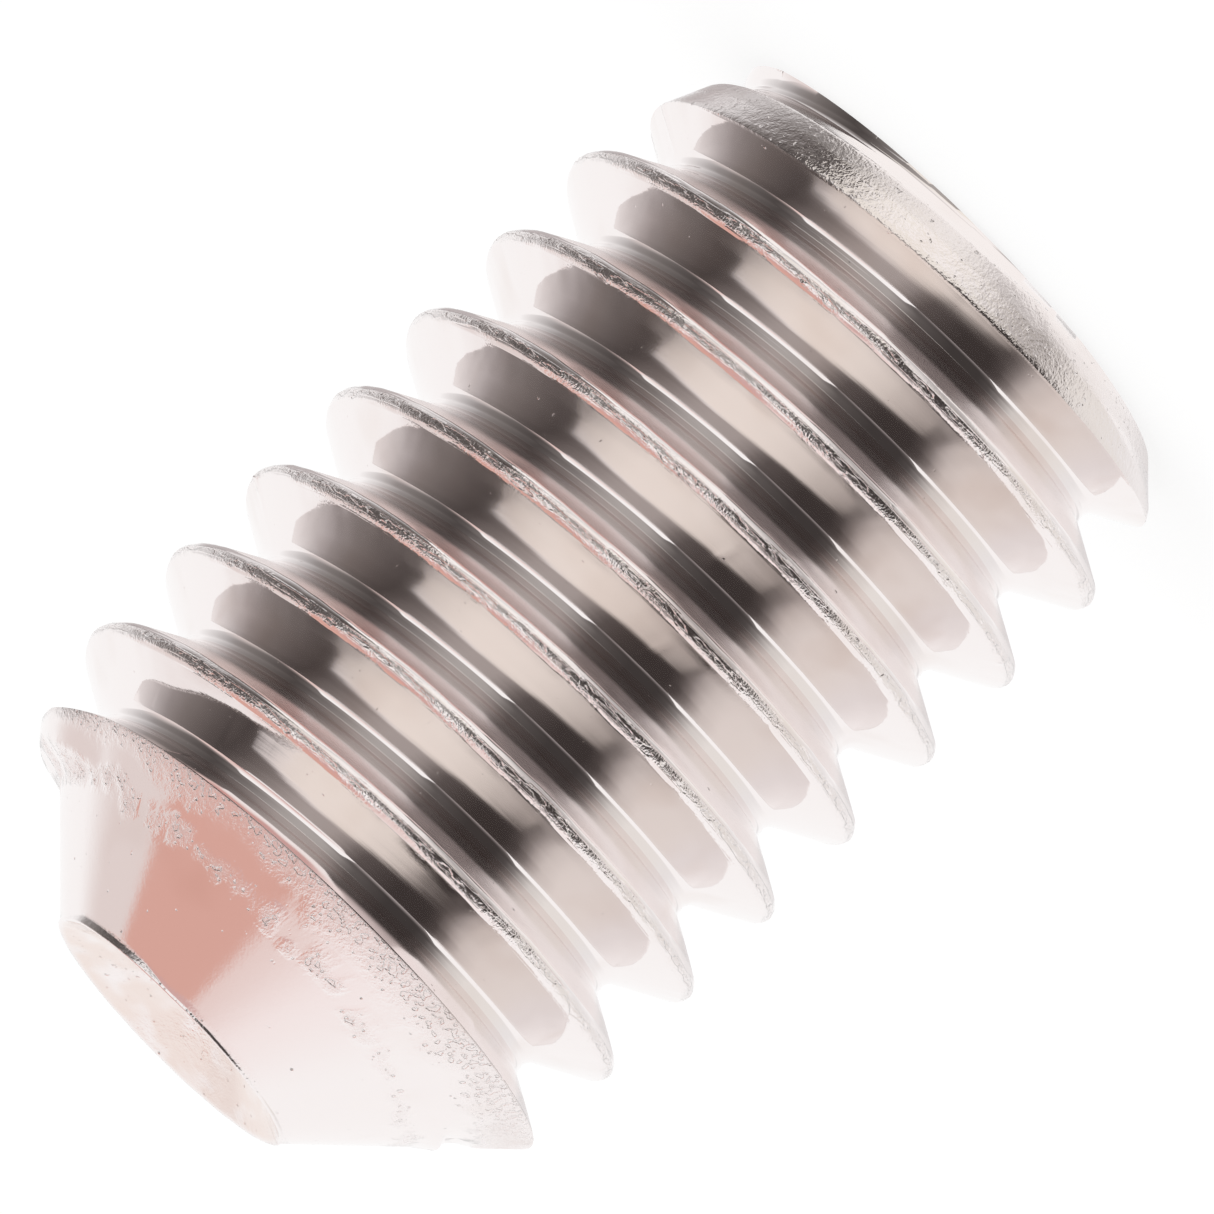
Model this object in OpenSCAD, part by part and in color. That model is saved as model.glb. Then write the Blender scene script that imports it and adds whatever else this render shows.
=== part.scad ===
// Headless set screw with a hexagon socket and a cup point, in one piece.
// It stands on the flat face of its socket end, with the cup point up.
// The origin is the centre of that face, and +Z runs along the axis to the point.

/* [Body] */
// Overall length, from the socket end's face to the rim of the cup
screw_length = 9.72; // [8:0.01:16]

/* [Thread] */
// Diameter over the crests
thread_major_d = 5.97; // [5.8:0.01:7.2]
// Axial distance from one crest to the next
thread_pitch = 1; // [0.75:0.05:1.2]
// Axial width of the flat on each crest
thread_crest_flat = 0.125; // [0.08:0.005:0.2]
// Radius of the rounded root of the groove
thread_root_radius = 0.144; // [0.1:0.001:0.18]
// Angle between the two flanks of the groove, degrees
thread_flank_angle = 60; // [55:1:65]
// Direction in which a crest meets the socket end's face, degrees from +X
thread_start_angle = 108; // [0:1:359]

/* [Socket end] */
// How much lower the incomplete first crest stands than the others
lead_crest_loss = 0.17; // [0.05:0.01:0.3]
// Height over the end's face at which that crest starts to grow to its full size
lead_length = 0.8; // [0.5:0.05:1.5]
// Radial width of the chamfer between the end's face and the first crest
end_chamfer_width = 0.35; // [0.1:0.01:0.4]
// Slope of the chamfer, and of the growing crest, degrees from the axis
end_chamfer_angle = 45; // [40:1:60]

/* [Hexagon socket] */
// Distance across the flats
socket_across_flats = 3.05; // [2:0.01:3.7]
// Depth of the flats from the end's face
socket_depth = 3.5; // [1.5:0.05:5]
// How far the countersunk mouth reaches past the hexagon's corners
socket_countersink = 0.1; // [0.02:0.01:0.2]
// How far inside the flats the edge of the drilled bottom lies
socket_drill_gap = 0.075; // [0.02:0.005:0.3]
// Angle of the countersink and of the drilled bottom, degrees across
socket_cone_angle = 120; // [90:1:140]

/* [Cup point] */
// Diameter of the cup's rim
cup_rim_d = 2.84; // [2:0.01:3.6]
// Height of the narrow straight band round the outside of the rim
cup_band_height = 0.07; // [0.03:0.01:0.15]
// Slope of the point's cone, degrees from the axis
point_angle = 45; // [40:1:55]
// Angle of the hollow cup, degrees across
cup_angle = 120; // [100:1:150]

/* [Hidden] */

// Facets of the turned surfaces
round_facets = 96;
// Straight steps in each turn of the groove, and round its root
steps_per_turn = 36;
root_steps = 3;
// How far a cutting shape runs past the surface that it cuts
cut_margin = 0.05;

major_r = thread_major_d / 2;
half_flank = thread_flank_angle / 2;
// Depth of the flanks if they met in a sharp V, less what the rounded root fills
sharp_depth = (thread_pitch - thread_crest_flat) / 2 / tan(half_flank);
thread_depth = sharp_depth - thread_root_radius * (1 / sin(half_flank) - 1);
root_r = major_r - thread_depth;

lead_r = major_r - lead_crest_loss;
lead_rise = lead_crest_loss / tan(end_chamfer_angle);
end_face_r = lead_r - end_chamfer_width;
end_chamfer_length = end_chamfer_width / tan(end_chamfer_angle);

socket_corner_r = socket_across_flats / 2 / cos(30);
socket_mouth_r = socket_corner_r + socket_countersink;
socket_drill_r = socket_across_flats / 2 - socket_drill_gap;
// Height of a cone of the socket's angle for each unit of its radius
socket_cone_rise = 1 / tan(socket_cone_angle / 2);

cup_rim_r = cup_rim_d / 2;
cup_depth = cup_rim_r / tan(cup_angle / 2);
point_top_z = screw_length - cup_band_height;
point_length = (major_r - cup_rim_r) / tan(point_angle);

// The turned blank in radius and height: flat end, chamfer, lead, shank, point, band and cup
blank_outline = [
    [0, 0],
    [end_face_r, 0],
    [lead_r, end_chamfer_length],
    [lead_r, lead_length],
    [major_r, lead_length + lead_rise],
    [major_r, point_top_z - point_length],
    [cup_rim_r, point_top_z],
    [cup_rim_r, screw_length],
    [0, screw_length - cup_depth],
];

// The groove's section in radius and height: two corners outside the crests,
// and between them the arc of the root, which is tangent to both flanks
groove_mouth_r = major_r + cut_margin;
groove_half_mouth = (thread_pitch - thread_crest_flat) / 2 + cut_margin * tan(half_flank);
root_arc_angle = 90 - half_flank;
root_arc = [
    for (step = [0 : root_steps])
        let (turn = root_arc_angle * (2 * step / root_steps - 1))
        [
            root_r + thread_root_radius * (1 - cos(turn)),
            thread_root_radius * sin(turn)
        ]
];
groove_section = concat(
    [[groove_mouth_r, -groove_half_mouth]],
    root_arc,
    [[groove_mouth_r, groove_half_mouth]]
);
// The groove runs from one turn below the socket end's face to past the point
groove_turns = ceil(screw_length / thread_pitch) + 2;
groove_start_angle = thread_start_angle - 180;

// The body before threading
module blank() {
    rotate_extrude($fn = round_facets) polygon(blank_outline);
}

// Right-hand helical groove, as a closed solid to be cut away
module thread_groove() {
    corners = len(groove_section);
    rings = groove_turns * steps_per_turn;
    points = [
        for (ring = [0 : rings], corner = groove_section)
            let (
                angle = groove_start_angle + 360 * ring / steps_per_turn,
                height = thread_pitch * (ring / steps_per_turn - 1)
            )
            [corner[0] * cos(angle), corner[0] * sin(angle), corner[1] + height]
    ];
    sides = [
        for (ring = [0 : rings - 1], side = [0 : corners - 1])
            let (
                here = ring * corners + side,
                beside = ring * corners + (side + 1) % corners
            )
            each [
                [here, here + corners, beside],
                [beside, here + corners, beside + corners]
            ]
    ];
    first_cap = [for (corner = [0 : corners - 1]) corner];
    last_cap = [for (corner = [corners - 1 : -1 : 0]) rings * corners + corner];
    polyhedron(points, concat([first_cap], sides, [last_cap]));
}

// Countersunk mouth, broached hexagon and drilled, conical bottom
module hexagon_socket() {
    countersink_r = socket_mouth_r + cut_margin / socket_cone_rise;
    translate([0, 0, -cut_margin]) {
        cylinder(r1 = countersink_r, r2 = 0, h = countersink_r * socket_cone_rise, $fn = round_facets);
        cylinder(r = socket_corner_r, h = socket_depth + cut_margin, $fn = 6);
    }
    translate([0, 0, socket_depth])
        cylinder(r1 = socket_drill_r, r2 = 0, h = socket_drill_r * socket_cone_rise, $fn = round_facets);
}

module set_screw() {
    color("silver")
        difference() {
            blank();
            thread_groove();
            hexagon_socket();
        }
}

set_screw();
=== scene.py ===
"""Looks of the cup point set screw: its rolled and turned surface, its finish, and the studio round it.

The screw stands on the flat face of its socket end, with the cup point up and +Z along its axis.
Lengths here are in millimetres until they are given to Blender, and angles are in degrees round +Z
from +X. A facing is a direction counted the other way, from the camera's side: 0 is -Y, -90 is +X
and 90 is -X.
"""
import math

import bpy
import numpy as np
from mathutils import Matrix, Vector, noise


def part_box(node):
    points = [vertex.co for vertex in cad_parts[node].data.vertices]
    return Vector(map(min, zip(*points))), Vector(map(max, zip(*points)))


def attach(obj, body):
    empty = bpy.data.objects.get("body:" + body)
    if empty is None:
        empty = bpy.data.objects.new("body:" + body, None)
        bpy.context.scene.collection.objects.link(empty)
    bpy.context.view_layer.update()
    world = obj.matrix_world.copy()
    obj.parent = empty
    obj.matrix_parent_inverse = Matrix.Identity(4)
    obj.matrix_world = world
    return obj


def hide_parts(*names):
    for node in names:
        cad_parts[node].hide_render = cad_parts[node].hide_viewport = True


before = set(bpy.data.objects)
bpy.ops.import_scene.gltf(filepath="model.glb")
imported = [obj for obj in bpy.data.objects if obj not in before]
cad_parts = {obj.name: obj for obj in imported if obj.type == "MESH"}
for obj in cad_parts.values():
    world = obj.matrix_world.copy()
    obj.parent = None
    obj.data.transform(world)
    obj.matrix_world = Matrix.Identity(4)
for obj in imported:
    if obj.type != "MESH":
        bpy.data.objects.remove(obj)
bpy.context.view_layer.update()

MM = 0.001
NODE = "set_screw"

# ---------------------------------------------------------------- sizes, as in the part's source
BOX_LOW, BOX_HIGH = (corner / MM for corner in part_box(NODE))
LENGTH = BOX_HIGH.z - BOX_LOW.z
MAJOR_R = min(BOX_HIGH.x, BOX_HIGH.y, -BOX_LOW.x, -BOX_LOW.y)
PITCH = 1.0
CREST_FLAT = 0.125
ROOT_RADIUS = 0.144
HALF_FLANK = math.radians(30)
THREAD_START = 108.0
LEAD_LOSS = 0.17
LEAD_LENGTH = 0.8
CHAMFER = 0.35
ACROSS_FLATS = 3.05
SOCKET_DEPTH = 3.5
COUNTERSINK = 0.1
DRILL_GAP = 0.075
SOCKET_HALF_CONE = math.radians(60)
CUP_R = 1.42
CUP_BAND = 0.07
CUP_HALF_ANGLE = math.radians(60)

SHARP_DEPTH = (PITCH - CREST_FLAT) / 2 / math.tan(HALF_FLANK)
ROOT_R = MAJOR_R - SHARP_DEPTH + ROOT_RADIUS * (1 / math.sin(HALF_FLANK) - 1)
LEAD_R = MAJOR_R - LEAD_LOSS
POINT_TOP = LENGTH - CUP_BAND
POINT_START = POINT_TOP - (MAJOR_R - CUP_R)

# Where a value below is a range of four numbers, it begins at the first, is full from the second to
# the third, and ends at the fourth

# ---------------------------------------------------------------- rolled thread
# Each side of a crest is an arc that meets the flank at a shoulder, where it slopes by this angle
CREST_ARC_R = 0.2
CREST_HALF_WIDTH = 0.088
CREST_SHOULDER = math.radians(42)
# A fine ridge that the rolling left beside the middle of the root
RIDGE_AT, RIDGE_HALF, RIDGE_HEIGHT = 0.52, 0.02, 0.008
# How far the crests stand under the full size, and the least that their burrs stand under it
CREST_LOSS, BURR_LOSS = 0.007, 0.0005
# How far the middle of a crest wanders up and down
WANDER = 0.008
# Distances from a crest's middle at which its own skin begins and is full
CREST_NEAR = (0.22, 0.1)
# The rough seam along each crest: its middle, its half width and its depth
SEAM_MIDDLE, SEAM_HALF, SEAM_DEPTH = 0.008, 0.035, 0.008
# How far its middle wanders, how uneven its width is, and where its edges lie in half widths
SEAM_WANDER, SEAM_UNEVEN, SEAM_EDGES = 0.01, 0.3, (1.25, 0.7)
# How patchy the rest of a crest is
PATCHY = 1.2
# The band on a crest's shoulder, towards the point, that is rougher than the rest of it
SHOULDER_BAND = (0.02, 0.045, 0.075, 0.095)
# Cut edges are worn round over this distance to both sides, and lose this much
WORN_WIDTH, WORN_LOSS = 0.022, 0.007
# Burrs on the flanks: facing, height, and how far they stand out
BURRS = ((13.0, 4.72, 0.03), (9.0, 3.70, 0.025), (-84.0, 0.86, 0.06), (-85.0, 5.78, 0.06),
         (70.0, 2.3, 0.03), (150.0, 5.4, 0.05), (-150.0, 7.1, 0.04))
BURR_SIZE = 0.05
# The incomplete first crest slopes inwards by this much for each unit of height. The slope begins
# this far over the crest's middle, runs down by this much, and is only this near to the middle
LEAD_TILT = math.tan(math.radians(23))
LEAD_SLOPE_START, LEAD_SLOPE_RUN, LEAD_HALF = 0.16, 0.5, 0.4
# The torn lip of the last crest, where it runs over the point's cone: how far it stands out, its
# top, how far its edge is soft under and over that and wanders, the heights over which it grows, and
# its facings
LIP_OUT, LIP_TOP = 0.25, 8.76
LIP_SOFT_UNDER, LIP_SOFT_OVER, LIP_WANDER = 0.06, 0.035, 0.03
LIP_GROWS = (8.05, 8.66)
LIP_FACINGS = (-140, -100, -84, -60)
# Opposite the lip, a ridge with a dent under it: facing and spread of both, and for each its height,
# its spread and how far it stands out or lies in
MARK_FACING, MARK_SPREAD = 88, 14
MARK_RIDGE = (8.76, 0.05, 0.06)
MARK_DENT = (8.62, 0.06, 0.05)

# ---------------------------------------------------------------- rough skin
# How rough the skin is, from 0 for a mirror to 1 for torn: a crest beside its seam, its shoulder, the
# first crest, the cone, the cone's torn start, and the cup
CREST_SKIN, SHOULDER_SKIN, LEAD_SKIN = 0.12, 0.22, 0.32
CONE_SKIN, TORN_SKIN, CUP_SKIN = 0.12, 0.8, 0.22
# How deep torn skin is, and how far under the blank the thread still shows the blank's skin
SKIN_DEPTH, SKIN_REACH = 0.003, 0.002
# The first crest's skin ends between these heights
LEAD_SKIN_ENDS = (1.3, 1.0)
# The cone is plain inside the first radius and torn outside the second
TORN_RADII = (2.38, 2.78)
# How far the edge of the torn start wanders in coarse and in fine lumps
RAGGED_COARSE, RAGGED_FINE = 0.12, 0.05
# The ring of pits on the cone. Its middle and its density swing once round the axis: each has a
# mean, a swing, and the facing at which it is largest
PITS_RADIUS = (2.19, 0.13, -30)
PITS_DENSITY = (0.66, 0.22, -40)
PITS_HALF = 0.085
# The share of the edge's wandering that the ring follows, and the random values between which its
# gaps close
PITS_RAGGED, PITS_CLOSE = 0.8, (-0.9, 0.3)
# Radii at which the random patterns of the cone and of its pits are taken
CONE_GRAIN_R, PITS_GRAIN_R = 2.6, 2.2

# ---------------------------------------------------------------- cup's rim
# The straight band outside the rim: how far it lies inside the cone, its height, how much higher it
# is between its facings, and how much that wanders
BAND_INSET, BAND_LOW, BAND_MORE, BAND_WAVE = 0.002, 0.03, 0.035, 0.006
BAND_FACINGS = (-75, -60, -26, -12)
# The rim's top wanders by this much, round a mean that is this far under the full length
RIM_WAVE = 0.004
# The band's lower edge is worn round: how far the ring under it stands out, and both rings lie off
BAND_STEP, BAND_EDGE = 0.003, 0.004
# Rings over the rounded rim: how far each lies inside the band, and under the rim's top
RIM_RINGS = ((0.002, 0.012), (0.006, 0.004), (0.014, 0.0), (0.03, 0.002), (0.05, 0.012))

# ---------------------------------------------------------------- mesh density
COLUMNS = 360
# Where rows lie on a crest, beside its shoulder, on each flank and, in degrees on its arc, in a root
CREST_ROWS = (-0.07, -0.05, -0.028, 0.0, 0.024, 0.046, 0.068)
SHOULDER_ROW = 0.008
FLANK_ROWS = (0.16, 0.27)
ROOT_ROWS = (-60, -36, -12, 22, 42, 60)
# The mesh of the threaded part ends at this height, and its rows keep this far from both ends
THREAD_TOP, END_GAP = 8.75, 0.012
# A row that is moved beside an edge keeps at least this share of the space to the next row
ROW_SHARE = 0.3
# The cone's highest ring, and the distance between its rings
CONE_TOP, CONE_RING_STEP = POINT_TOP - 0.03, 0.045
# Rings down the cup, as shares of its mouth, and down the drilled bottom, as shares of the drill
CUP_SHARES = (0.98, 0.93, 0.86, 0.78, 0.68, 0.56, 0.44, 0.32, 0.2, 0.1, 0.03)
DRILL_SHARES = (0.66, 0.33, 0.06)
# A ring on the end's face, and rings down the socket's flats
FACE_RING_R = 2.2
SOCKET_ROWS = (0.6, 1.6, 2.6, SOCKET_DEPTH)
# Faces that meet at more than this have a sharp edge between them
SHARP_ANGLE = math.radians(42)


def facing_of(angle):
    """The facing of an angle, from -180 to 180."""
    return (270 - angle + 180) % 360 - 180


def step_between(value, start, end):
    """Rises smoothly from 0 at start to 1 at end, or falls where end is the lower one."""
    share = np.clip((value - start) / (end - start), 0, 1)
    return share * share * (3 - 2 * share)


def plateau(value, begins, full_from, full_to, ends):
    """1 in a range of values, and fades to 0 on both sides of it."""
    return step_between(value, begins, full_from) * step_between(value, ends, full_to)


def bell(value, middle, spread):
    """1 at the middle, and less and less to both sides of it."""
    return np.exp(-((value - middle) / spread) ** 2)


def swing(facing, mean, most, at):
    """A value that swings once round the axis by most from its mean, and is largest at one facing."""
    return mean + most * math.cos(math.radians(facing - at))


def grain(angle, radius, heights, size, seed):
    """Smooth random values from -1 to 1, with lumps of about that size."""
    turn = math.radians(angle)
    x, y = radius * math.cos(turn) / size + seed * 7.31, radius * math.sin(turn) / size
    return np.array([noise.noise((x, y, h / size)) for h in heights])


def pebbles(angle, heights):
    """Random lumps of rough skin, and the finer specks on them."""
    return grain(angle, MAJOR_R, heights, 0.1, 3), grain(angle, MAJOR_R, heights, 0.05, 4)


def thread_radius(offset):
    """Radius of the thread at an axial distance from the middle of the nearest crest."""
    away = np.abs(offset)
    flank = MAJOR_R - (away - CREST_FLAT / 2) / math.tan(HALF_FLANK)
    arc_middle = CREST_HALF_WIDTH - CREST_ARC_R * math.sin(CREST_SHOULDER)
    shoulder_r = MAJOR_R - (CREST_HALF_WIDTH - CREST_FLAT / 2) / math.tan(HALF_FLANK)
    on_arc = np.clip(away, 0, CREST_HALF_WIDTH) - arc_middle
    crest = shoulder_r - CREST_ARC_R * math.cos(CREST_SHOULDER) + np.sqrt(CREST_ARC_R ** 2 - on_arc ** 2)
    from_root = np.clip(PITCH / 2 - away, 0, ROOT_RADIUS)
    root = ROOT_R + ROOT_RADIUS - np.sqrt(ROOT_RADIUS ** 2 - from_root ** 2)
    root += RIDGE_HEIGHT * step_between(np.abs(offset % PITCH - RIDGE_AT), RIDGE_HALF, 0)
    in_root = PITCH / 2 - away < ROOT_RADIUS * math.cos(HALF_FLANK)
    return np.where(away < CREST_HALF_WIDTH, crest, np.where(in_root, root, flank))


def cone_radius(height):
    """Radius of the point's cone."""
    return CUP_R + POINT_TOP - height


def blank_radius(height):
    """Radius of the blank that the thread is cut in: chamfer, lead, shank and point."""
    chamfer = LEAD_R - CHAMFER + height
    lead = LEAD_R + np.maximum(0, height - LEAD_LENGTH)
    return np.minimum(np.minimum(chamfer, lead), np.minimum(cone_radius(height), MAJOR_R))


def torn_lip(angle, heights):
    """How far the last crest stands out where it runs over the point's cone, and the mark opposite."""
    facing = facing_of(angle)
    top = LIP_TOP + LIP_WANDER * grain(angle, CONE_GRAIN_R, heights, 0.3, 12)
    under_top = step_between(heights, top + LIP_SOFT_OVER, top - LIP_SOFT_UNDER)
    lip = LIP_OUT * plateau(facing, *LIP_FACINGS) * under_top * step_between(heights, *LIP_GROWS)
    mark = sum(sign * size * bell(heights, middle, spread)
               for sign, (middle, spread, size) in ((1, MARK_RIDGE), (-1, MARK_DENT)))
    return lip + bell(facing, MARK_FACING, MARK_SPREAD) * mark


def ring_of_pits(angle, radius):
    """How much of the torn ring on the point's cone lies at that direction and radius."""
    facing = facing_of(angle)
    return swing(facing, *PITS_DENSITY) * bell(radius, swing(facing, *PITS_RADIUS), PITS_HALF)


def cone_skin(angle, heights):
    """How rough the point's cone is: torn at its start, pitted in a ring, and plain near the cup."""
    radius = cone_radius(heights)
    ragged = RAGGED_COARSE * grain(angle, CONE_GRAIN_R, heights, 0.4, 1)
    ragged += RAGGED_FINE * grain(angle, CONE_GRAIN_R, heights, 0.13, 2)
    torn = TORN_SKIN * step_between(radius + ragged, *TORN_RADII)
    unbroken = step_between(grain(angle, PITS_GRAIN_R, heights, 0.14, 9), *PITS_CLOSE)
    ring = ring_of_pits(angle, radius + PITS_RAGGED * ragged) * unbroken
    return np.clip(np.maximum(torn, ring), CONE_SKIN, 1)


def skin_loss(skin, lumps, specks):
    """How much the rough skin takes off the blank."""
    return SKIN_DEPTH * skin * np.clip(0.8 + 0.8 * lumps + 0.6 * specks, 0, 2)


def crest_surface(angle, heights, offset, lumps, specks):
    """The thread's radius along one column, and how rough it is in the seam and on the crests."""
    near = step_between(np.abs(offset), *CREST_NEAR)
    wander = grain(angle, MAJOR_R, heights, 0.7, 5) + 0.5 * grain(angle, MAJOR_R, heights, 0.2, 6)
    on_crest = offset + WANDER * wander * near
    middle = SEAM_MIDDLE + SEAM_WANDER * grain(angle, MAJOR_R, heights, 0.9, 7)
    half = SEAM_HALF * (1 + SEAM_UNEVEN * grain(angle, MAJOR_R, heights, 0.5, 8))
    seam = step_between(np.abs(on_crest - middle), *(half * share for share in SEAM_EDGES))
    patchy = np.clip(1 + PATCHY * grain(angle, MAJOR_R, heights, 0.35, 10), 0, 2)
    beside = (CREST_SKIN * near + SHOULDER_SKIN * plateau(on_crest, *SHOULDER_BAND)) * patchy
    skin = np.maximum(seam, beside)
    thread = thread_radius(on_crest) - CREST_LOSS * near
    return thread - skin * SEAM_DEPTH * np.clip(0.6 + 0.6 * lumps + 0.4 * specks, 0, 1.6), skin


def with_burrs(angle, heights, thread):
    """The thread's radius along one column with its burrs, which never reach the full size."""
    for facing, at_height, size in BURRS:
        across = math.radians(facing_of(angle + facing)) * MAJOR_R
        if abs(across) < 3 * BURR_SIZE:
            thread = thread + size * np.exp(-(across ** 2 + (heights - at_height) ** 2) / BURR_SIZE ** 2)
    return np.minimum(thread, MAJOR_R - BURR_LOSS)


def blank_surface(angle, heights, offset, lumps, specks):
    """The blank's radius along one column, and how rough it is: on the first crest and the point."""
    lead_skin = LEAD_SKIN * step_between(heights, *LEAD_SKIN_ENDS)
    skin = np.where(heights > POINT_START, cone_skin(angle, heights), lead_skin)
    blank = blank_radius(heights) + torn_lip(angle, heights)
    sloped = LEAD_R - LEAD_TILT * np.clip(LEAD_SLOPE_START - offset, 0, LEAD_SLOPE_RUN)
    on_lead = (heights < LEAD_LENGTH + 0.1) & (np.abs(offset) < LEAD_HALF)
    blank = np.where(on_lead, np.minimum(blank, sloped), blank)
    return blank - skin_loss(skin, lumps, specks), skin


def thread_surface(angle, heights):
    """The thread's radius and rough skin, and the blank's, along one column."""
    offset = crest_offset(angle, heights)
    lumps, specks = pebbles(angle, heights)
    thread, seam = crest_surface(angle, heights, offset, lumps, specks)
    blank, skin = blank_surface(angle, heights, offset, lumps, specks)
    return with_burrs(angle, heights, thread), seam, blank, skin


def crest_offset(angle, height):
    """Axial distance from the middle of the nearest crest, from -PITCH/2 to PITCH/2."""
    turns = height / PITCH - (angle - THREAD_START) / 360
    return (turns - np.round(turns)) * PITCH


def row_offsets():
    """Where the mesh's rows lie across one pitch, from the middle of a crest."""
    crest = [-CREST_HALF_WIDTH, *CREST_ROWS, CREST_HALF_WIDTH]
    flank = [CREST_HALF_WIDTH + SHOULDER_ROW, *FLANK_ROWS]
    root = [PITCH / 2 + ROOT_RADIUS * math.sin(math.radians(turn)) for turn in ROOT_ROWS]
    ridge = [RIDGE_AT - RIDGE_HALF, RIDGE_AT, RIDGE_AT + RIDGE_HALF]
    back_flank = [PITCH - offset for offset in reversed(flank)]
    return crest + flank + sorted(root + ridge) + back_flank


def snap_to_edges(angle, heights):
    """Moves three rows onto each edge where the thread runs out of the blank: before, on and after it.

    Returns the heights, and -1, 0 or 1 for each row that was moved.
    """
    thread, _, blank, _ = thread_surface(angle, heights)
    gap = thread - blank
    snapped = heights.copy()
    edges = {}
    for i in np.nonzero(gap[:-1] * gap[1:] < 0)[0]:
        share = gap[i] / (gap[i] - gap[i + 1])
        edge = heights[i] + share * (heights[i + 1] - heights[i])
        nearest = i if share < 0.5 else i + 1
        taken = any(row in edges for row in (nearest - 1, nearest, nearest + 1))
        if taken or not 1 < nearest < len(heights) - 2:
            continue
        lower, upper = snapped[nearest - 2], heights[nearest + 2]
        snapped[nearest] = edge
        snapped[nearest - 1] = max(edge - WORN_WIDTH, lower + ROW_SHARE * (edge - lower))
        snapped[nearest + 1] = min(edge + WORN_WIDTH, edge + (1 - ROW_SHARE) * (upper - edge))
        edges.update({nearest - 1: -1, nearest: 0, nearest + 1: 1})
    return snapped, edges


def thread_column(angle, offsets):
    """Keys, heights and edge rows of one column of the threaded part. A key names the helical row."""
    rows = len(offsets)
    keys, heights = [], []
    for turn in range(-1, int(THREAD_TOP / PITCH) + 2):
        for i, offset in enumerate(offsets):
            height = (turn + (angle - THREAD_START) / 360) * PITCH + offset
            if END_GAP < height < THREAD_TOP - END_GAP:
                keys.append(turn * rows + i)
                heights.append(height)
    heights, edges = snap_to_edges(angle, np.array([0.0] + heights + [THREAD_TOP]))
    return [-math.inf] + keys + [math.inf], heights, edges


class MeshParts:
    """Vertices and faces of the screw as they are added."""

    def __init__(self):
        self.points = []
        self.skins = []
        self.faces = []
        self.edges = {}

    def add(self, radius, angle, height, skin=0.0):
        """A point that is given round the axis. Returns its number."""
        turn = math.radians(angle)
        self.points.append((radius * math.cos(turn), radius * math.sin(turn), height))
        self.skins.append(float(skin))
        return len(self.points) - 1

    def ring(self, radii, heights, angles, skins=None):
        """A closed row of points round the axis."""
        skins = [0.0] * len(angles) if skins is None else skins
        return [self.add(r, a, h, s) for r, a, h, s in zip(radii, angles, heights, skins)]

    def quad(self, a, b, c, d):
        """A four-sided face, or two triangles where an edge of the part runs across it."""
        rows = [self.edges.get(point) for point in (a, b, c, d)]
        if rows[0] is not None and rows[0] == rows[2] and rows[0] != rows[1]:
            self.faces += [(a, b, c), (a, c, d)]
        elif rows[1] is not None and rows[1] == rows[3] and rows[0] != rows[1]:
            self.faces += [(a, b, d), (b, c, d)]
        else:
            self.faces.append((a, b, c, d))

    def loft(self, lower, upper):
        """Faces between two rings of the same count, facing outwards where upper is higher."""
        count = len(lower)
        for i in range(count):
            k = (i + 1) % count
            self.faces.append((lower[i], lower[k], upper[k], upper[i]))

    def zip_columns(self, left, right):
        """Faces between two columns of (key, point), joined row by row where the keys agree."""
        i = k = 0
        while i < len(left) - 1 or k < len(right) - 1:
            next_left = left[i + 1][0] if i < len(left) - 1 else math.inf
            next_right = right[k + 1][0] if k < len(right) - 1 else math.inf
            a, b = left[i][1], right[k][1]
            if next_left == next_right and i < len(left) - 1 and k < len(right) - 1:
                self.quad(a, b, right[k + 1][1], left[i + 1][1])
                i, k = i + 1, k + 1
            elif next_left < next_right:
                self.faces.append((a, b, left[i + 1][1]))
                i += 1
            else:
                self.faces.append((a, b, right[k + 1][1]))
                k += 1

    def fan(self, ring, centre):
        """Closes a ring to one point, facing as a loft from ring to centre would."""
        for i, point in enumerate(ring):
            self.faces.append((point, ring[(i + 1) % len(ring)], centre))


def build_thread(parts, angles):
    """The threaded part. Returns its lowest and highest ring."""
    offsets = row_offsets()
    columns = []
    for angle in angles:
        keys, heights, edges = thread_column(angle, offsets)
        thread, seam, blank, skin = thread_surface(angle, heights)
        radii = np.minimum(thread, blank)
        for row, side in edges.items():
            radii[row] -= WORN_LOSS if side == 0 else 0
        skins = np.where(blank < thread + SKIN_REACH, skin, seam)
        points = [parts.add(r, angle, h, s) for r, h, s in zip(radii, heights, skins)]
        parts.edges.update({points[row]: side for row, side in edges.items()})
        columns.append(list(zip(keys, points)))
    for left, right in zip(columns, columns[1:]):
        parts.zip_columns(left, right)
    # One turn on, each row of the last column meets the row a pitch higher in the first
    shifted = [(key - len(offsets), point) for key, point in columns[0]]
    parts.zip_columns(columns[-1], shifted)
    return [column[0][1] for column in columns], [column[-1][1] for column in columns]


def cone_ring(height, angles):
    """Radii and rough skin of the point's cone at one height."""
    heights = np.array([height])
    radii, skins = [], []
    for angle in angles:
        skin = cone_skin(angle, heights)
        full = cone_radius(heights) + torn_lip(angle, heights)
        radii.append((full - skin_loss(skin, *pebbles(angle, heights)))[0])
        skins.append(skin[0])
    return radii, skins


def band_height(angle):
    """Height of the straight band outside the cup's rim, which is higher on one side."""
    wander = grain(angle, 3.0, [5.0], 1.0, 0)[0]
    return BAND_LOW + BAND_MORE * plateau(facing_of(angle), *BAND_FACINGS) + BAND_WAVE * wander


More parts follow.
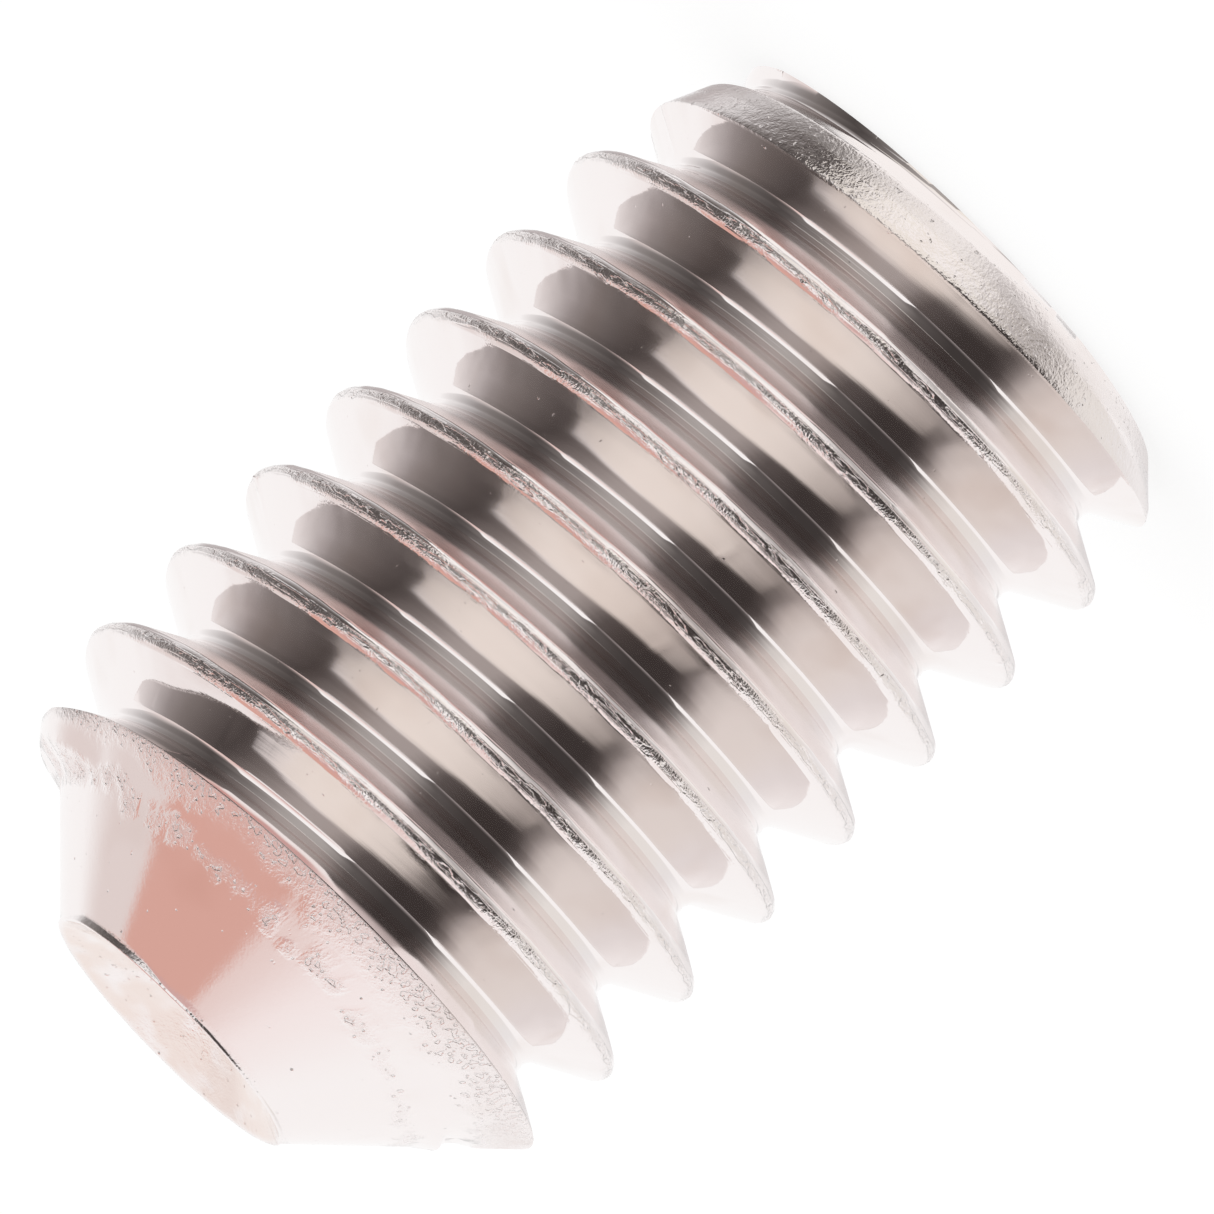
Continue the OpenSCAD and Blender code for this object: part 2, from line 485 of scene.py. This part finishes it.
def rim_and_cup(angles):
    """Rings from the band outside the rim down into the cup, and the height of the cup's bottom."""
    bands = np.array([band_height(angle) for angle in angles])
    waves = np.array([grain(angle, 5.0, [2.0], 1.0, 0)[0] for angle in angles])
    top = LENGTH - RIM_WAVE * (1 + waves)
    band_z = top - bands
    band_r = np.minimum(CUP_R, cone_radius(band_z)) - BAND_INSET
    rings = [(band_r + BAND_STEP, band_z - BAND_EDGE), (band_r, band_z + BAND_EDGE)]
    rings += [(band_r - inside, top - under) for inside, under in RIM_RINGS]
    mouth_r, mouth_z = rings[-1]
    for share in CUP_SHARES:
        rings.append((mouth_r * share, mouth_z - mouth_r * (1 - share) / math.tan(CUP_HALF_ANGLE)))
    return rings, float(np.mean(mouth_z - mouth_r / math.tan(CUP_HALF_ANGLE)))


def build_point(parts, angles, lowest):
    """The cone above the thread, the rim and the hollow cup."""
    below = lowest
    count = round((CONE_TOP - THREAD_TOP) / CONE_RING_STEP)
    for height in np.linspace(THREAD_TOP, CONE_TOP, count + 1)[1:]:
        radii, skins = cone_ring(height, angles)
        ring = parts.ring(radii, [height] * len(angles), angles, skins)
        parts.loft(below, ring)
        below = ring
    rings, bottom = rim_and_cup(angles)
    for radii, heights in rings:
        mean_r = float(np.mean(radii))
        skins = [CUP_SKIN * (1 + grain(angle, mean_r, [5.0], 0.5, 11)[0]) for angle in angles]
        ring = parts.ring(radii, heights, angles, skins)
        parts.loft(below, ring)
        below = ring
    parts.fan(below, parts.add(0, 0, bottom, CUP_SKIN))


def hexagon_radius(angles, across_flats):
    """Distance from the axis to the hexagon's wall, with two flats square to Y."""
    from_flat = (np.asarray(angles) + 60) % 60 - 30
    return across_flats / 2 / np.cos(np.radians(from_flat))


def build_socket(parts, angles, outer):
    """The end's face, the countersunk mouth, the flats and the drilled bottom."""
    count = len(angles)
    flats = hexagon_radius(angles, ACROSS_FLATS)
    mouth_r = ACROSS_FLATS / 2 / math.cos(math.radians(30)) + COUNTERSINK
    drill_r = ACROSS_FLATS / 2 - DRILL_GAP
    slope = 1 / math.tan(SOCKET_HALF_CONE)
    rings = [([FACE_RING_R] * count, [0.0] * count), ([mouth_r] * count, [0.0] * count)]
    rings.append((flats, (mouth_r - flats) * slope))
    for depth in SOCKET_ROWS:
        rings.append((flats, [depth] * count))
    for share in (1, *DRILL_SHARES):
        rings.append(([drill_r * share] * count, [SOCKET_DEPTH + drill_r * (1 - share) * slope] * count))
    above = outer
    for radii, heights in rings:
        ring = parts.ring(radii, heights, angles)
        parts.loft(ring, above)
        above = ring
    parts.fan(above[::-1], parts.add(0, 0, SOCKET_DEPTH + drill_r * slope))


def build_screw():
    """The whole screw as one closed mesh."""
    parts = MeshParts()
    angles = [360 * column / COLUMNS for column in range(COLUMNS)]
    lowest, highest = build_thread(parts, angles)
    build_point(parts, angles, highest)
    build_socket(parts, angles, lowest)
    mesh = bpy.data.meshes.new("screw")
    mesh.from_pydata([Vector(p) * MM for p in parts.points], [], parts.faces)
    mesh.update()
    for polygon in mesh.polygons:
        polygon.use_smooth = True
    mesh.set_sharp_from_angle(angle=SHARP_ANGLE)
    mesh.attributes.new("rough_skin", "FLOAT", "POINT").data.foreach_set("value", parts.skins)
    screw = bpy.data.objects.new("screw_body", mesh)
    bpy.context.scene.collection.objects.link(screw)
    return screw


# ---------------------------------------------------------------- camera
FRAME_WIDTH = 10.66
VIEW_DISTANCE = 400.0
VIEW_ELEVATION = 10.0
# How far the camera is turned about its view line, instead of laying the screw down
VIEW_ROLL = 45.6
AIM = Vector((-0.02, 0.0, 4.29))
SENSOR_WIDTH = 36.0
CLIP_NEAR, CLIP_FAR = 10.0, 2000.0


def make_camera():
    """The photograph's view: from -Y, a little above the horizontal, and rolled."""
    elevation, roll = math.radians(VIEW_ELEVATION), math.radians(VIEW_ROLL)
    back = Vector((0, -math.cos(elevation), math.sin(elevation)))
    side = Vector((1, 0, 0))
    rise = side.cross(back) * -1
    right = -math.sin(roll) * rise - math.cos(roll) * side
    up = math.sin(roll) * side - math.cos(roll) * rise
    data = bpy.data.cameras.new("camera")
    data.sensor_width = SENSOR_WIDTH
    data.lens = SENSOR_WIDTH * VIEW_DISTANCE / FRAME_WIDTH
    data.clip_start, data.clip_end = CLIP_NEAR * MM, CLIP_FAR * MM
    camera = bpy.data.objects.new("camera", data)
    rotation = Matrix((right, up, back)).transposed().to_4x4()
    camera.matrix_world = Matrix.Translation((AIM + back * VIEW_DISTANCE) * MM) @ rotation
    bpy.context.scene.collection.objects.link(camera)
    bpy.context.scene.camera = camera


# ---------------------------------------------------------------- shader nodes
class Nodes:
    """Adds nodes to a material or a world, and links them."""

    def __init__(self, owner):
        owner.use_nodes = True
        self.tree = owner.node_tree
        self.tree.nodes.clear()

    def add(self, kind, inputs=None, **settings):
        """A node of that kind. inputs gives a value or another node's output by name or number."""
        node = self.tree.nodes.new(kind)
        for name, value in settings.items():
            setattr(node, name, value)
        for name, value in (inputs or {}).items():
            if isinstance(value, bpy.types.NodeSocket):
                self.tree.links.new(value, node.inputs[name])
            else:
                node.inputs[name].default_value = value
        return node

    def math(self, operation, *values):
        """What the operation gives for the values."""
        return self.add("ShaderNodeMath", dict(enumerate(values)), operation=operation).outputs[0]

    def total(self, first, *others):
        """The sum of the values."""
        for value in others:
            first = self.math("ADD", first, value)
        return first

    def product(self, first, *others):
        """The values multiplied by each other."""
        for value in others:
            first = self.math("MULTIPLY", first, value)
        return first

    def rest(self, value):
        """What is missing from the value to 1."""
        return self.math("SUBTRACT", 1.0, value)

    def degrees(self, operation, *values):
        """An angle that the operation gives, in degrees."""
        return self.math("DEGREES", self.math(operation, *values))

    def smooth(self, value, start, end):
        """Rises smoothly from 0 at start to 1 at end, or falls where end is the lower one."""
        inputs = {"Value": value, "From Min": min(start, end), "From Max": max(start, end)}
        inputs["To Min"], inputs["To Max"] = (0.0, 1.0) if start < end else (1.0, 0.0)
        return self.add("ShaderNodeMapRange", inputs, interpolation_type="SMOOTHSTEP").outputs[0]

    def plateau(self, value, begins, full_from, full_to, ends):
        """1 in a range of values, and fades to 0 on both sides of it."""
        return self.product(self.smooth(value, begins, full_from), self.smooth(value, ends, full_to))

    def vector(self, operation, inputs):
        """The outputs of a vector operation."""
        return self.add("ShaderNodeVectorMath", inputs, operation=operation).outputs

    def noise(self, vector, scale, detail):
        """Smooth random values round 0.5."""
        inputs = {"Vector": vector, "Scale": scale, "Detail": detail}
        return self.add("ShaderNodeTexNoise", inputs).outputs[0]

    def mix(self, factor, first, second, blend="MIX"):
        """The first colour where the factor is 0 and the second, or their blend, where it is 1."""
        inputs = {"Factor": factor, 6: first, 7: second}
        return self.add("ShaderNodeMix", inputs, data_type="RGBA", blend_type=blend).outputs[2]

    def ramp(self, value, stops, low, high, warmth=1.0):
        """A grey that follows stops of (value, grey) from low to high, redder where warmth is under 1."""
        position = self.add("ShaderNodeMapRange", {"Value": value, "From Min": low, "From Max": high})
        node = self.add("ShaderNodeValToRGB", {"Fac": position.outputs[0]})
        elements = node.color_ramp.elements
        while len(elements) > 1:
            elements.remove(elements[-1])
        for i, (at, grey) in enumerate(stops):
            element = elements[0] if i == 0 else elements.new((at - low) / (high - low))
            element.position = (at - low) / (high - low)
            element.color = (grey ** warmth, grey, grey, 1)
        return node.outputs["Color"]


# ---------------------------------------------------------------- studio
WHITE = (1, 1, 1, 1)
TENT_RADIUS = 150.0
# What a direction round the screw shows, from the camera's side at 0 towards +X at 90: the tent's
# open front is dark to both sides of the camera's stand, which is grey
FRONT = ((-180, 1.0), (-150, 1.0), (-125, 0.86), (-80, 0.82), (-67, 0.66), (-61, 0.42), (-56, 0.20),
         (-50, 0.075), (-43, 0.044), (-25, 0.046), (-15, 0.07), (-5, 0.105), (0, 0.18), (5, 0.29),
         (12, 0.40), (26, 0.42), (35, 0.38), (45, 0.28), (55, 0.19), (63, 0.14), (69, 0.095), (76, 0.07),
         (85, 0.10), (95, 0.15), (105, 0.21), (115, 0.31), (125, 0.52), (135, 0.74), (150, 1.0),
         (180, 1.0))
# How far the opening reaches down and up in each direction, in degrees
FRONT_LOW = ((-180, 44), (-66, 50), (-54, 49), (-48, 41), (-12, 38), (8, 34), (30, 30), (70.5, 29),
             (71.5, 56), (140, 56), (150, 44), (180, 40))
FRONT_HIGH = ((-180, 3), (-140, 5), (-110, 13), (-80, 15), (-64, 16), (-56, 16), (-53, 52), (-20, 52),
              (-10, 45), (-3, 30), (2, 15), (57, 15), (62, 26), (74, 35), (98, 37), (106, 35), (116, 32),
              (126, 28), (138, 14), (150, 4), (180, 3))
# Half of the distance over which the opening's edge fades
FRONT_SOFT = 2.5
# What lies under the opening: white, and greyer to both sides of the camera
UNDER = ((-180, 1.0), (-95, 0.94), (-80, 0.75), (-65, 0.54), (-50, 0.46), (-43, 0.48), (-35, 0.58),
         (-25, 0.70), (-15, 0.84), (-5, 0.92), (5, 0.97), (18, 1.0), (38, 1.0), (50, 0.93), (61, 0.80),
         (69, 0.62), (78, 1.0), (180, 1.0))
# The heights between which it begins
UNDER_BEGINS = (-28.0, -34.0)
# Tints in front of the screw, which fade out towards its back: of the opening, and of what lies
# under it down to the given heights. The last one tints what lies under those, and behind
AHEAD_FADES = (125.0, 100.0)
FRONT_TINT = (1.0, 0.985, 0.95, 1)
CREAM_TINT, CREAM_HEIGHTS = (0.93, 0.905, 0.85, 1), (-58.0, -50.0)
SIDE_TINT = (1.0, 0.985, 0.97, 1)
# Red is raised to this power in the greys above, so that the darker ones are warmer
WARMTH = 0.96
# A sleeve over the opening's upper edge: its colour, its directions, how far up it reaches from that
# edge, and how softly it ends there
SLEEVE_COLOUR = (0.76, 0.50, 0.45, 1)
SLEEVE_SIDES = (60.0, 68.0, 112.0, 128.0)
SLEEVE_WIDTH, SLEEVE_SOFT = 7.0, 4.0
# The shaded floor behind the screw: its heights, the directions between which it begins on both
# sides, its colours towards -X and towards +X, and the X of a direction where they meet
SHADE_HEIGHTS = (-36.0, -32.0, -18.0, -14.0)
SHADE_BEGINS = (138.0, 152.0)
SHADE_COLOURS = ((0.88, 0.87, 0.87, 1), (0.52, 0.48, 0.48, 1))
SHADE_MEETS = (-0.4, 0.4)
# The hand that puts the screw down, which is out of the picture. Each part has a direction, the
# angles round it where its colour is full and where it ends, and the colour
HAND_PARTS = (((-0.25, -0.30, 0.92), 0.0, 48.0, (0.95, 0.86, 0.85, 1)),
              ((0.36, -0.25, 0.90), 22.0, 44.0, (0.84, 0.69, 0.66, 1)),
              ((0.62, 0.38, 0.69), 7.0, 30.0, (0.79, 0.71, 0.69, 1)),
              ((0.27, -0.46, 0.85), 12.0, 24.0, (0.66, 0.43, 0.41, 1)),
              ((0.50, -0.26, 0.83), 12.0, 20.0, (0.66, 0.39, 0.36, 1)),
              ((0.36, -0.05, 0.93), 17.5, 23.0, (0.72, 0.42, 0.36, 1)))


class Tent(Nodes):
    """What each direction from the screw's middle shows."""

    def __init__(self, material):
        super().__init__(material)
        place = self.add("ShaderNodeTexCoord").outputs["Object"]
        self.direction = self.vector("NORMALIZE", {0: place})[0]
        self.x, y, z = self.add("ShaderNodeSeparateXYZ", {0: self.direction}).outputs
        self.azimuth = self.degrees("ARCTAN2", self.x, self.product(y, -1.0))
        self.height = self.degrees("ARCSINE", z)
        self.under_edge = self.math("SUBTRACT", self.reach(FRONT_HIGH), self.height)

    def reach(self, stops):
        """How many degrees the opening reaches up or down in this direction."""
        shares = [(at, degrees / 90) for at, degrees in stops]
        return self.product(self.ramp(self.azimuth, shares, -180, 180), 90.0)

    def walls(self):
        """The tent's white wall, its dark opening in front, and what lies under that."""
        ahead = self.smooth(self.math("ABSOLUTE", self.azimuth), *AHEAD_FADES)
        front = self.ramp(self.azimuth, FRONT, -180, 180, WARMTH)
        front = self.mix(ahead, front, self.mix(1.0, front, FRONT_TINT, "MULTIPLY"))
        cream = self.product(ahead, self.smooth(self.height, *CREAM_HEIGHTS))
        tint = self.mix(cream, SIDE_TINT, CREAM_TINT)
        under = self.mix(1.0, self.ramp(self.azimuth, UNDER, -180, 180, WARMTH), tint, "MULTIPLY")
        wall = self.mix(self.smooth(self.height, *UNDER_BEGINS), WHITE, under)
        over_edge = self.total(self.height, self.reach(FRONT_LOW))
        inside = self.product(self.smooth(over_edge, -FRONT_SOFT, FRONT_SOFT),
                              self.smooth(self.under_edge, -FRONT_SOFT, FRONT_SOFT))
        return self.mix(inside, wall, front)

    def with_sleeve(self, colour):
        """Adds the sleeve over the opening's upper edge."""
        across = self.plateau(self.azimuth, *SLEEVE_SIDES)
        over_edge = self.smooth(self.under_edge, FRONT_SOFT, -FRONT_SOFT)
        under_top = self.smooth(self.under_edge, -SLEEVE_WIDTH - SLEEVE_SOFT, -SLEEVE_WIDTH)
        return self.mix(self.product(across, over_edge, under_top), colour, SLEEVE_COLOUR)

    def with_shade(self, colour):
        """Adds the shaded floor behind the screw."""
        behind = self.smooth(self.math("ABSOLUTE", self.azimuth), *SHADE_BEGINS)
        shade = self.mix(self.smooth(self.x, *SHADE_MEETS), *SHADE_COLOURS)
        return self.mix(self.product(behind, self.plateau(self.height, *SHADE_HEIGHTS)), colour, shade)

    def with_hand(self, colour):
        """Adds each part of the hand above the screw over what was there."""
        for towards, full, ends, skin_colour in HAND_PARTS:
            inputs = {0: self.direction, 1: Vector(towards).normalized()}
            away = self.degrees("ARCCOSINE", self.vector("DOT_PRODUCT", inputs)["Value"])
            colour = self.mix(self.smooth(away, ends, full), colour, skin_colour)
        return colour


def make_tent():
    """A white tent that only reflections see, with its dark open front and a hand above the screw."""
    bpy.ops.mesh.primitive_uv_sphere_add(segments=64, ring_count=32, radius=TENT_RADIUS * MM)
    tent = bpy.context.object
    tent.name = "tent"
    tent.location = (0, 0, LENGTH / 2 * MM)
    for ray in ("camera", "diffuse", "transmission", "shadow", "volume_scatter"):
        setattr(tent, "visible_" + ray, False)
    material = bpy.data.materials.new("tent")
    nodes = Tent(material)
    colour = nodes.with_hand(nodes.with_shade(nodes.with_sleeve(nodes.walls())))
    glow = nodes.add("ShaderNodeEmission", {"Color": colour, "Strength": 1.0}).outputs[0]
    nodes.add("ShaderNodeOutputMaterial", {"Surface": glow})
    tent.data.materials.append(material)


FLOOR_SIZE = 1200.0
# The paper is lifted to white by a glow that lights nothing, so that it keeps the screw's shadow
FLOOR_COLOUR, FLOOR_LIFT = (0.25, 0.25, 0.25, 1), 0.81


def shown_rays(nodes):
    """1 where the camera, a reflection or a transmission looks, and 0 for diffuse light."""
    path = nodes.add("ShaderNodeLightPath").outputs
    rays = nodes.total(path["Is Camera Ray"], path["Is Glossy Ray"], path["Is Transmission Ray"])
    return nodes.math("MINIMUM", rays, 1.0)


def make_floor():
    """A plain pale floor that shows white, and keeps the screw's shadow."""
    bpy.ops.mesh.primitive_plane_add(size=FLOOR_SIZE * MM)
    floor = bpy.context.object
    floor.name = "floor"
    floor.location = (0, 0, BOX_LOW.z * MM)
    floor.visible_glossy = False
    material = bpy.data.materials.new("floor")
    nodes = Nodes(material)
    paper = nodes.add("ShaderNodeBsdfDiffuse", {"Color": FLOOR_COLOUR}).outputs[0]
    lift = nodes.product(shown_rays(nodes), FLOOR_LIFT)
    glow = nodes.add("ShaderNodeEmission", {"Color": WHITE, "Strength": lift}).outputs[0]
    both = nodes.add("ShaderNodeAddShader", {0: paper, 1: glow}).outputs[0]
    nodes.add("ShaderNodeOutputMaterial", {"Surface": both})
    floor.data.materials.append(material)


WORLD_LEVEL = 0.8


def make_world():
    """White where it is seen, and a plain level as light."""
    world = bpy.data.worlds.new("studio")
    bpy.context.scene.world = world
    nodes = Nodes(world)
    extra = nodes.product(shown_rays(nodes), 1 - WORLD_LEVEL)
    level = nodes.total(extra, WORLD_LEVEL)
    sky = nodes.add("ShaderNodeBackground", {"Color": WHITE, "Strength": level}).outputs[0]
    nodes.add("ShaderNodeOutputWorld", {"Surface": sky})


LAMP_SIZE = 300.0
LAMP_WATTS = 0.2
LAMP_AT = Vector((150.0, -100.0, 400.0))
LAMP_AIM = Vector((0.0, 0.0, 5.0))


def make_lamp():
    """A soft overhead box that gives the floor's shadow its direction."""
    data = bpy.data.lights.new("softbox", "AREA")
    data.shape, data.size = "DISK", LAMP_SIZE * MM
    data.energy = LAMP_WATTS
    lamp = bpy.data.objects.new("softbox", data)
    lamp.location = LAMP_AT * MM
    lamp.rotation_euler = (LAMP_AIM - LAMP_AT).to_track_quat("-Z", "Y").to_euler()
    lamp.visible_glossy = False
    bpy.context.scene.collection.objects.link(lamp)


# ---------------------------------------------------------------- finish
STEEL = (0.925, 0.870, 0.860, 1)
STAIN = (0.80, 0.70, 0.66, 1)
PIT = (0.30, 0.26, 0.24, 1)
# The darker, warmer colour of patches inside the cup
CUP_PATCH_TINT = (0.875, 0.765, 0.72, 1)
# Random patterns: how many lumps lie on a millimetre, and how much finer detail they have
PEBBLES, DRAWN_PEBBLES = (16.0, 1.5), (17.0, 2.5)
SPECKS, PATCHES, WAVES = (46.0, 1.0), (0.9, 2.0), (3.5, 1.0)
# The rolling's streaks: lumps to a millimetre of radius and to one of height, the radius in lumps of
# their way round the axis, and their finer detail
STREAKS_OUT, STREAKS_UP, STREAKS_ROUND, STREAK_DETAIL = 26.0, 3.0, 1.6, 4.0
# The pebbles on a crest are taken from a circle of this radius. It is smaller than the crest's, so
# they are drawn out
DRAWN_ROUND = 0.8
# Pits: cells of a lattice to a millimetre, the share of cells without one, and a pit's outer and
# inner radius in cells
PIT_CELLS, PIT_CHOICE, PIT_RADII = 2.3, (0.7, 0.72), (0.05, 0.02)
# Heights over which the point begins, radii over which a crest does, and both for the cup
POINT_FROM, CREST_FROM = (8.0, 8.3), (2.84, 2.89)
CUP_WITHIN, CUP_OVER = (CUP_R - 0.05, CUP_R - 0.12), (8.7, 8.8)
# Shares of a pitch over a crest's middle where the next crest's lower flank is dull, is duller, ends
DULL_FROM, DULLER_FROM, DULL_TO = (0.6, 0.68), (0.72, 0.78), (0.93, 0.89)
# Values of each pattern between which its stain, or in the cup its darker and warmer tint, begins to
# show, and how strong the stain then is
PATCHES_SHOW, SPECKS_SHOW, CUP_SHOWS = (0.52, 0.72), (0.6, 0.75), (0.2, 0.6)
PATCHES_STAIN, SPECKS_STAIN, PITS_STAIN = 0.35, 0.6, 0.7
# Roughness of a plain flank, and what each of these adds to it
ROUGH, ROUGH_STREAKS, ROUGH_SKIN, ROUGH_DULL, ROUGH_POINT = 0.045, 0.05, 0.13, 0.10, 0.34
LEAST_ROUGH = 0.02
# How much rough skin adds to the pattern of torn places, and the values between which they show
TORN_BY_SKIN, TORN_SHOWS = 0.36, (0.78, 0.90)
# How much of the skin's grain the specks are, and how rough skin is where its grain begins to show
GRAIN_SPECKS, GRAIN_SHOWS = 0.6, (0.05, 0.5)
# Depths of the relief: torn places, grain of the skin, streaks, waves and pits
TORN_DEPTH, GRAIN_DEPTH, STREAK_DEPTH, WAVE_DEPTH, PIT_DEPTH = 0.010, 0.009, 0.00028, 0.0006, 0.006


class Steel(Nodes):
    """Bright rolled steel: mirror flanks with fine rings, torn skin where the attribute says so."""

    def __init__(self, material):
        super().__init__(material)
        place = self.add("ShaderNodeTexCoord").outputs["Object"]
        self.in_mm = self.scaled(place, 1 / MM)
        self.skin = self.add("ShaderNodeAttribute", attribute_name="rough_skin").outputs["Fac"]
        self.x, self.y, self.z = self.add("ShaderNodeSeparateXYZ", {0: self.in_mm}).outputs
        flat = self.add("ShaderNodeCombineXYZ", {0: self.x, 1: self.y}).outputs[0]
        self.radius = self.vector("LENGTH", {0: flat})["Value"]
        self.around = self.vector("NORMALIZE", {0: flat})[0]
        self.point = self.smooth(self.z, *POINT_FROM)
        self.specks = self.noise(self.in_mm, *SPECKS)
        self.waves = self.noise(self.in_mm, *WAVES)
        self.streaks = self.rolled_streaks()
        self.pebbles = self.torn_pebbles()
        self.pits = self.sparse_pits()

    def scaled(self, vector, scale):
        """The vector multiplied by a number."""
        return self.vector("SCALE", {0: vector, "Scale": scale})[0]

    def round_and_up(self, round_scale, up):
        """Where to take a pattern that is drawn out round the axis."""
        height = self.add("ShaderNodeCombineXYZ", {2: up}).outputs[0]
        return self.vector("ADD", {0: self.scaled(self.around, round_scale), 1: height})[0]

    def rolled_streaks(self):
        """Fine rings that follow the rolling, seen as streaks along the flanks."""
        across = self.total(self.product(self.radius, STREAKS_OUT), self.product(self.z, STREAKS_UP))
        return self.noise(self.round_and_up(STREAKS_ROUND, across), 1.0, STREAK_DETAIL)

    def torn_pebbles(self):
        """The pattern of torn places: round on the point, and drawn out along the crests."""
        crest = self.product(self.smooth(self.radius, *CREST_FROM), self.rest(self.point))
        drawn = self.noise(self.round_and_up(DRAWN_ROUND, self.z), *DRAWN_PEBBLES)
        plain = self.product(self.noise(self.in_mm, *PEBBLES), self.rest(crest))
        return self.total(plain, self.product(drawn, crest))

    def sparse_pits(self):
        """Pits that lie far apart, each in its own cell of a coarse lattice."""
        inputs = {"Vector": self.in_mm, "Scale": PIT_CELLS, "Randomness": 1.0}
        cells = self.add("ShaderNodeTexVoronoi", inputs).outputs
        draw = self.add("ShaderNodeSeparateColor", {0: cells["Color"]}).outputs[0]
        return self.product(self.smooth(cells["Distance"], *PIT_RADII), self.smooth(draw, *PIT_CHOICE))

    def dull_flanks(self):
        """The flanks that face the socket end are duller, most of all beside the crest."""
        angle = self.math("SUBTRACT", self.degrees("ARCTAN2", self.y, self.x), THREAD_START)
        # Ten turns are added so that the count stays above 0
        height = self.total(self.product(self.z, 1 / PITCH), 10.0)
        turns = self.math("SUBTRACT", height, self.math("DIVIDE", angle, 360.0))
        phase = self.math("FRACT", turns)
        dull = self.total(self.smooth(phase, *DULL_FROM), self.smooth(phase, *DULLER_FROM))
        return self.product(dull, self.smooth(phase, *DULL_TO), self.rest(self.point))

    def colour(self):
        """Bare steel with patches and specks of stain, darker and warmer patches in the cup, and dark
        pits.
        """
        patches = self.smooth(self.noise(self.in_mm, *PATCHES), *PATCHES_SHOW)
        colour = self.mix(self.product(patches, PATCHES_STAIN), STEEL, STAIN)
        in_cup = self.product(self.smooth(self.radius, *CUP_WITHIN), self.smooth(self.z, *CUP_OVER))
        in_cup = self.product(in_cup, self.smooth(self.waves, *CUP_SHOWS))
        # Inside the cup, patches turn darker and warmer
        colour = self.mix(in_cup, colour, CUP_PATCH_TINT)
        specks = self.product(self.skin, self.smooth(self.specks, *SPECKS_SHOW))
        colour = self.mix(self.product(specks, SPECKS_STAIN), colour, STAIN)
        return self.mix(self.product(self.pits, PITS_STAIN), colour, PIT)

    def roughness(self):
        """Nearly a mirror, but for the streaks, the rough skin, the dull flanks and the torn point."""
        fine = self.product(self.math("SUBTRACT", self.streaks, 0.5), ROUGH_STREAKS)
        skin = self.product(self.skin, ROUGH_SKIN)
        dull = self.product(self.dull_flanks(), ROUGH_DULL)
        torn_point = self.product(self.point, self.skin, ROUGH_POINT)
        return self.math("MAXIMUM", self.total(fine, ROUGH, skin, dull, torn_point), LEAST_ROUGH)

    def relief(self):
        """Height of the fine relief in millimetres. Torn places grow together where the skin is rough."""
        torn = self.total(self.pebbles, self.product(self.skin, TORN_BY_SKIN))
        torn = self.product(self.smooth(torn, *TORN_SHOWS), -TORN_DEPTH)
        grainy = self.total(self.pebbles, self.product(self.specks, GRAIN_SPECKS))
        grainy = self.product(grainy, GRAIN_DEPTH, self.smooth(self.skin, *GRAIN_SHOWS))
        streaks = self.product(self.streaks, STREAK_DEPTH)
        waves = self.product(self.waves, WAVE_DEPTH)
        pits = self.product(self.pits, PIT_DEPTH)
        return self.math("SUBTRACT", self.total(torn, grainy, streaks, waves), pits)


def steel():
    """The screw's material."""
    material = bpy.data.materials.new("stainless_steel")
    nodes = Steel(material)
    bump = nodes.add("ShaderNodeBump", {"Height": nodes.relief(), "Strength": 1.0, "Distance": MM})
    inputs = {
        "Base Color": nodes.colour(),
        "Metallic": 1.0,
        "Roughness": nodes.roughness(),
        "Normal": bump.outputs[0],
    }
    shader = nodes.add("ShaderNodeBsdfPrincipled", inputs).outputs[0]
    nodes.add("ShaderNodeOutputMaterial", {"Surface": shader})
    return material


screw = build_screw()
screw.data.materials.append(steel())
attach(screw, "root")
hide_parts(NODE)
make_camera()
make_world()
make_tent()
make_floor()
make_lamp()
bpy.context.scene.view_settings.view_transform = "Standard"
